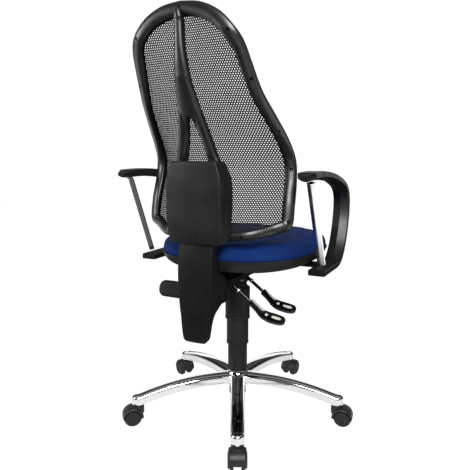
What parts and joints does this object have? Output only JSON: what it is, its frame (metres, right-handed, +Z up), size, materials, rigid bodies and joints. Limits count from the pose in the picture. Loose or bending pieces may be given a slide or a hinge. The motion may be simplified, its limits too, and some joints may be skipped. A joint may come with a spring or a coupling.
{
  "type": "swivel office chair",
  "caption": "Swivel office chair with a mesh back on a ribbed spine, padded seat, loop armrests, gas lift and a chromed star base on twin-wheel casters.",
  "frame": {"origin": "centre of the whole chair's bounding box in X and Y, on the floor under the casters (Z = 0); the gas lift's axis stands at X = 0.016, Y = 0.012", "axes": "+Z up, the sitter faces -Y, +Y is the rear, +X is the sitter's left"},
  "size_m": [0.6612, 0.6667, 1.1164],
  "materials": {
    "chrome": "bright chromed steel with mirror-like sides",
    "bright_steel": "machined steel pins, rods and spring",
    "black_painted_steel": "black powder-coated steel",
    "dark_polished_rod": "dark polished lever rods",
    "guide_plastic": "dark moulded guide plastic",
    "caster_plastic": "satin dark grey nylon",
    "grained_cover_plastic": "fine-grained matte black plastic",
    "gloss_lever_plastic": "gloss black plastic",
    "seat_shell_plastic": "satin dark grey plastic",
    "armrest_plastic": "satin black-grey plastic",
    "back_frame_plastic": "semi-gloss black plastic",
    "black_mesh": "open black polyester mesh",
    "blue_seat_fabric": "dark blue woven upholstery over foam",
    "plywood": "bare moulded plywood"
  },
  "bodies": {
    "base": {"star_base": "chrome", "lift_outer_tube": "black_painted_steel", "lift_guide_bush": "guide_plastic", "column_cover_lower": "grained_cover_plastic"},
    "caster_1": {"caster_1_stem": "bright_steel", "caster_1_hood": "caster_plastic", "caster_1_axle": "bright_steel"},
    "wheel_1_left": {"caster_1_wheel_left": "caster_plastic"},
    "wheel_1_right": {"caster_1_wheel_right": "caster_plastic"},
    "caster_2": {"caster_2_stem": "bright_steel", "caster_2_hood": "caster_plastic", "caster_2_axle": "bright_steel"},
    "wheel_2_left": {"caster_2_wheel_left": "caster_plastic"},
    "wheel_2_right": {"caster_2_wheel_right": "caster_plastic"},
    "caster_3": {"caster_3_stem": "bright_steel", "caster_3_hood": "caster_plastic", "caster_3_axle": "bright_steel"},
    "wheel_3_left": {"caster_3_wheel_left": "caster_plastic"},
    "wheel_3_right": {"caster_3_wheel_right": "caster_plastic"},
    "caster_4": {"caster_4_stem": "bright_steel", "caster_4_hood": "caster_plastic", "caster_4_axle": "bright_steel"},
    "wheel_4_left": {"caster_4_wheel_left": "caster_plastic"},
    "wheel_4_right": {"caster_4_wheel_right": "caster_plastic"},
    "caster_5": {"caster_5_stem": "bright_steel", "caster_5_hood": "caster_plastic", "caster_5_axle": "bright_steel"},
    "wheel_5_left": {"caster_5_wheel_left": "caster_plastic"},
    "wheel_5_right": {"caster_5_wheel_right": "caster_plastic"},
    "cover_middle": {"column_cover_middle": "grained_cover_plastic"},
    "column": {"lift_piston_rod": "bright_steel", "lift_thrust_bearing": "bright_steel"},
    "chassis": {"lift_inner_cylinder": "bright_steel", "column_cover_upper": "grained_cover_plastic", "mechanism_housing": "black_painted_steel", "back_pivot_axle": "bright_steel", "seat_pivot_axle": "bright_steel", "tension_spring": "bright_steel"},
    "knob": {"tension_knob": "grained_cover_plastic"},
    "height_lever": {"height_lever_rod": "dark_polished_rod", "height_lever_paddle": "gloss_lever_plastic"},
    "tilt_lever": {"tilt_lever_rod": "dark_polished_rod", "tilt_lever_paddle": "gloss_lever_plastic"},
    "seat": {"seat_plate": "black_painted_steel", "seat_board": "plywood", "seat_shell": "seat_shell_plastic", "seat_cushion": "blue_seat_fabric", "arm_bracket_left": "black_painted_steel", "arm_loop_left": "armrest_plastic", "arm_strut_left": "chrome", "arm_bracket_right": "black_painted_steel", "arm_loop_right": "armrest_plastic", "arm_strut_right": "chrome"},
    "tilt": {"back_bar": "black_painted_steel", "back_cover_lower": "grained_cover_plastic"},
    "back": {"back_frame": "back_frame_plastic", "back_mesh": "black_mesh", "back_spine": "back_frame_plastic", "height_slider": "guide_plastic", "back_cover_upper": "grained_cover_plastic"}
  },
  "joints": [
    {"name": "caster_1_swivel", "type": "hinge", "parent": "base", "child": "caster_1", "pos_m": [-0.11401, 0.28458, 0.06], "axis": [0, 0, 1], "continuous": true},
    {"name": "wheel_1_left_spin", "type": "hinge", "parent": "caster_1", "child": "wheel_1_left", "pos_m": [-0.12176, 0.30083, 0.025], "axis": [-0.9026, -0.4305, 0], "continuous": true},
    {"name": "wheel_1_right_spin", "type": "hinge", "parent": "caster_1", "child": "wheel_1_right", "pos_m": [-0.12176, 0.30083, 0.025], "axis": [-0.9026, -0.4305, 0], "continuous": true},
    {"name": "caster_2_swivel", "type": "hinge", "parent": "base", "child": "caster_2", "pos_m": [-0.28342, -0.02742, 0.06], "axis": [0, 0, 1], "continuous": true},
    {"name": "wheel_2_left_spin", "type": "hinge", "parent": "caster_2", "child": "wheel_2_left", "pos_m": [-0.30126, -0.02977, 0.025], "axis": [0.1305, -0.9914, 0], "continuous": true},
    {"name": "wheel_2_right_spin", "type": "hinge", "parent": "caster_2", "child": "wheel_2_right", "pos_m": [-0.30126, -0.02977, 0.025], "axis": [0.1305, -0.9914, 0], "continuous": true},
    {"name": "caster_3_swivel", "type": "hinge", "parent": "base", "child": "caster_3", "pos_m": [-0.03904, -0.28494, 0.06], "axis": [0, 0, 1], "continuous": true},
    {"name": "wheel_3_left_spin", "type": "hinge", "parent": "caster_3", "child": "wheel_3_left", "pos_m": [-0.04232, -0.30264, 0.025], "axis": [0.9833, -0.1822, 0], "continuous": true},
    {"name": "wheel_3_right_spin", "type": "hinge", "parent": "caster_3", "child": "wheel_3_right", "pos_m": [-0.04232, -0.30264, 0.025], "axis": [0.9833, -0.1822, 0], "continuous": true},
    {"name": "caster_4_swivel", "type": "hinge", "parent": "base", "child": "caster_4", "pos_m": [0.2814, -0.1321, 0.06], "axis": [0, 0, 1], "continuous": true},
    {"name": "wheel_4_left_spin", "type": "hinge", "parent": "caster_4", "child": "wheel_4_left", "pos_m": [0.29722, -0.14069, 0.025], "axis": [0.4772, 0.8788, 0], "continuous": true},
    {"name": "wheel_4_right_spin", "type": "hinge", "parent": "caster_4", "child": "wheel_4_right", "pos_m": [0.29722, -0.14069, 0.025], "axis": [0.4772, 0.8788, 0], "continuous": true},
    {"name": "caster_5_swivel", "type": "hinge", "parent": "base", "child": "caster_5", "pos_m": [0.23506, 0.21988, 0.06], "axis": [0, 0, 1], "continuous": true},
    {"name": "wheel_5_left_spin", "type": "hinge", "parent": "caster_5", "child": "wheel_5_left", "pos_m": [0.24812, 0.23227, 0.025], "axis": [-0.6884, 0.7254, 0], "continuous": true},
    {"name": "wheel_5_right_spin", "type": "hinge", "parent": "caster_5", "child": "wheel_5_right", "pos_m": [0.24812, 0.23227, 0.025], "axis": [-0.6884, 0.7254, 0], "continuous": true},
    {"name": "chair_swivel", "type": "hinge", "parent": "base", "child": "column", "pos_m": [0.016, 0.012, 0.05], "axis": [0, 0, 1], "continuous": true},
    {"name": "lift_slide", "type": "slide", "parent": "column", "child": "chassis", "axis": [0, 0, 1], "range_m": [-0.12, 0.01]},
    {"name": "cover_slide", "type": "slide", "parent": "base", "child": "cover_middle", "axis": [0, 0, 1], "range_m": [-0.06, 0.005]},
    {"name": "seat_tilt", "type": "hinge", "parent": "chassis", "child": "seat", "pos_m": [0.016, -0.063, 0.444], "axis": [-1, 0, 0], "range_deg": [0, 4.5]},
    {"name": "back_tilt", "type": "hinge", "parent": "chassis", "child": "tilt", "pos_m": [0.016, 0.057, 0.42], "axis": [-1, 0, 0], "range_deg": [0, 18], "stiffness_Nm_per_rad": 150, "springref_deg": -14.32},
    {"name": "back_height", "type": "slide", "parent": "tilt", "child": "back", "axis": [0, 0, 1], "range_m": [0, 0.06]},
    {"name": "tension_turn", "type": "hinge", "parent": "chassis", "child": "knob", "pos_m": [0.159, 0.117, 0.383], "axis": [1, 0, 0], "range_deg": [-720, 720]},
    {"name": "height_lever_pull", "type": "hinge", "parent": "chassis", "child": "height_lever", "pos_m": [-0.03, 0.042, 0.424], "axis": [0, 1, 0], "range_deg": [0, 8], "stiffness_Nm_per_rad": 1, "springref_deg": -4.58},
    {"name": "tilt_lever_pull", "type": "hinge", "parent": "chassis", "child": "tilt_lever", "pos_m": [-0.031, 0.13, 0.4165], "axis": [0, 1, 0], "range_deg": [0, 8], "stiffness_Nm_per_rad": 1, "springref_deg": -4.58}
  ],
  "couplings": [
    {"joint": "cover_slide", "follows": "lift_slide", "ratio": 0.5},
    {"joint": "seat_tilt", "follows": "back_tilt", "ratio": 0.25}
  ]
}
